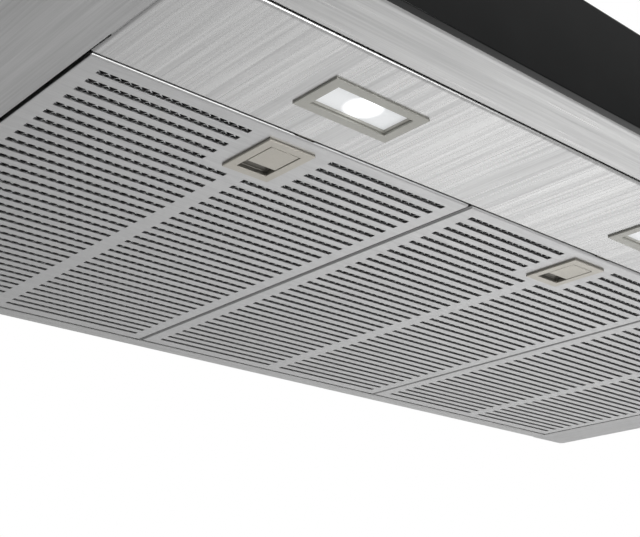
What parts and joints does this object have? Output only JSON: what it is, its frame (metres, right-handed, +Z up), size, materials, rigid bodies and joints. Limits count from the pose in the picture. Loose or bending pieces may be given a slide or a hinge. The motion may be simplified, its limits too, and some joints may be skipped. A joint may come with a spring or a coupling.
{
  "type": "under cabinet range hood",
  "caption": "Under-cabinet range hood with slotted drop-down grease filters, sliding latches, lit lamp panel, black glass front and twin centrifugal fan.",
  "frame": {"origin": "middle of the hood's width and depth, on the flat top face that meets the cabinet", "axes": "+X to the right for a person facing the wall, +Y towards the wall, +Z up; the glass front faces -Y"},
  "size_m": [0.914, 0.5144, 0.2055],
  "materials": {
    "brushed_steel": "brushed with a directional grain",
    "filter_steel": "fine satin, lightly mottled",
    "filter_mesh": "expanded sheet, dull",
    "galvanised_steel": "galvanised sheet with faint spangle",
    "black_glass": "back-painted black, polished",
    "circuit_board": "green laminate",
    "button_metal": "satin bright",
    "lamp_bezel": "satin warm grey",
    "frosted_lens": "frosted, lit from behind",
    "heat_sink": "extruded, matt",
    "latch_plastic": "champagne satin",
    "spring_steel": "bright zinc",
    "motor_enamel": "dark grey enamel",
    "copper_winding": "varnished copper wire",
    "white_plastic": "white moulding",
    "cable_jacket": "black cable jacket"
  },
  "bodies": {
    "hood": {"top_panel": "brushed_steel", "side_panel_left": "brushed_steel", "side_panel_right": "brushed_steel", "rear_panel": "brushed_steel", "front_rail": "brushed_steel", "light_panel": "brushed_steel", "hook_rail": "galvanised_steel", "divider_1": "galvanised_steel", "divider_2": "galvanised_steel", "scroll_left": "galvanised_steel", "scroll_right": "galvanised_steel", "motor_bracket": "galvanised_steel", "duct_collar": "galvanised_steel", "junction_box": "galvanised_steel", "junction_cover": "galvanised_steel", "glass_fascia": "black_glass", "switch_board": "circuit_board", "lamp_bezel_1": "lamp_bezel", "lamp_bezel_2": "lamp_bezel", "lamp_bezel_3": "lamp_bezel", "lamp_lens_1": "frosted_lens", "lamp_lens_2": "frosted_lens", "lamp_lens_3": "frosted_lens", "lamp_module_1": "heat_sink", "lamp_module_2": "heat_sink", "lamp_module_3": "heat_sink", "motor_case": "motor_enamel", "motor_stator": "copper_winding", "capacitor": "white_plastic", "terminal_block": "white_plastic", "led_driver": "white_plastic", "wiring_loom": "cable_jacket", "fasteners": "spring_steel"},
    "rotor": {"fan_shaft": "spring_steel", "impeller_left": "galvanised_steel", "impeller_right": "galvanised_steel"},
    "damper": {"damper_flap": "galvanised_steel"},
    "filter_1": {"filter_face_1": "filter_steel", "filter_mesh_1": "filter_mesh", "filter_back_1": "galvanised_steel", "latch_bezel_1": "latch_plastic", "latch_spring_1": "spring_steel"},
    "latch_1": {"latch_slider_1": "latch_plastic"},
    "filter_2": {"filter_face_2": "filter_steel", "filter_mesh_2": "filter_mesh", "filter_back_2": "galvanised_steel", "latch_bezel_2": "latch_plastic", "latch_spring_2": "spring_steel"},
    "latch_2": {"latch_slider_2": "latch_plastic"},
    "filter_3": {"filter_face_3": "filter_steel", "filter_mesh_3": "filter_mesh", "filter_back_3": "galvanised_steel", "latch_bezel_3": "latch_plastic", "latch_spring_3": "spring_steel"},
    "latch_3": {"latch_slider_3": "latch_plastic"},
    "button_1": {"button_1": "button_metal"},
    "button_2": {"button_2": "button_metal"},
    "button_3": {"button_3": "button_metal"},
    "button_4": {"button_4": "button_metal"},
    "button_5": {"button_5": "button_metal"}
  },
  "joints": [
    {"name": "filter_1_hinge", "type": "hinge", "parent": "hood", "child": "filter_1", "pos_m": [-0.27, 0.241, -0.177], "axis": [1, 0, 0], "range_deg": [0, 50]},
    {"name": "filter_2_hinge", "type": "hinge", "parent": "hood", "child": "filter_2", "pos_m": [0, 0.241, -0.177], "axis": [1, 0, 0], "range_deg": [0, 50]},
    {"name": "filter_3_hinge", "type": "hinge", "parent": "hood", "child": "filter_3", "pos_m": [0.27, 0.241, -0.177], "axis": [1, 0, 0], "range_deg": [0, 50]},
    {"name": "latch_1_slide", "type": "slide", "parent": "filter_1", "child": "latch_1", "axis": [0, 1, 0], "range_m": [0, 0.008], "stiffness_N_per_m": 150, "springref_m": -0.006, "deforming": ["latch_spring_1"]},
    {"name": "latch_2_slide", "type": "slide", "parent": "filter_2", "child": "latch_2", "axis": [0, 1, 0], "range_m": [0, 0.008], "stiffness_N_per_m": 150, "springref_m": -0.006, "deforming": ["latch_spring_2"]},
    {"name": "latch_3_slide", "type": "slide", "parent": "filter_3", "child": "latch_3", "axis": [0, 1, 0], "range_m": [0, 0.008], "stiffness_N_per_m": 150, "springref_m": -0.006, "deforming": ["latch_spring_3"]},
    {"name": "button_1_press", "type": "slide", "parent": "hood", "child": "button_1", "axis": [0, 1, 0], "range_m": [0, 0.002], "stiffness_N_per_m": 400, "springref_m": -0.0015},
    {"name": "button_2_press", "type": "slide", "parent": "hood", "child": "button_2", "axis": [0, 1, 0], "range_m": [0, 0.002], "stiffness_N_per_m": 400, "springref_m": -0.0015},
    {"name": "button_3_press", "type": "slide", "parent": "hood", "child": "button_3", "axis": [0, 1, 0], "range_m": [0, 0.002], "stiffness_N_per_m": 400, "springref_m": -0.0015},
    {"name": "button_4_press", "type": "slide", "parent": "hood", "child": "button_4", "axis": [0, 1, 0], "range_m": [0, 0.002], "stiffness_N_per_m": 400, "springref_m": -0.0015},
    {"name": "button_5_press", "type": "slide", "parent": "hood", "child": "button_5", "axis": [0, 1, 0], "range_m": [0, 0.002], "stiffness_N_per_m": 400, "springref_m": -0.0015},
    {"name": "fan_spin", "type": "hinge", "parent": "hood", "child": "rotor", "pos_m": [0, 0.11, -0.084], "axis": [1, 0, 0], "continuous": true},
    {"name": "damper_hinge", "type": "hinge", "parent": "hood", "child": "damper", "pos_m": [0, 0.1128, 0.005], "axis": [1, 0, 0], "range_deg": [0, 75]}
  ]
}
